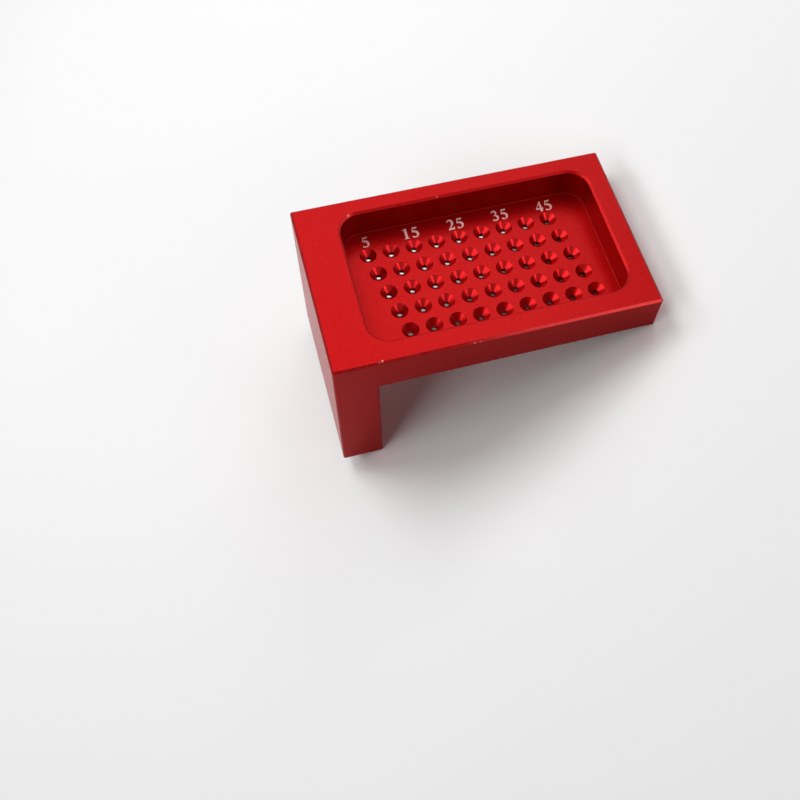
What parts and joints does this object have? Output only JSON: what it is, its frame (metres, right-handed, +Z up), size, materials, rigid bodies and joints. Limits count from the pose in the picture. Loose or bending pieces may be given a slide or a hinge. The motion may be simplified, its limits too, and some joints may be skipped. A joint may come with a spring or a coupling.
{
  "type": "t-square ruler",
  "caption": "Small T-square marking gauge: a thick plate with a hanging fence and a shallow pocket of countersunk pencil holes for scribing lines parallel to a board's edge.",
  "frame": {"origin": "on the table under the middle of the bounding box, with the piece lying as it comes to rest, on the fence's foot and the plate's far edge", "axes": "+X from the fence towards the plate's far end, +Y towards the row of holes that the numbers stand behind, +Z up from the table; the plate slopes down along +X"},
  "size_m": [0.0772, 0.04, 0.0381],
  "materials": {
    "red_anodised": "bead blasted and anodised red, satin"
  },
  "bodies": {
    "root": {"t_square_body": "red_anodised"}
  },
  "joints": []
}
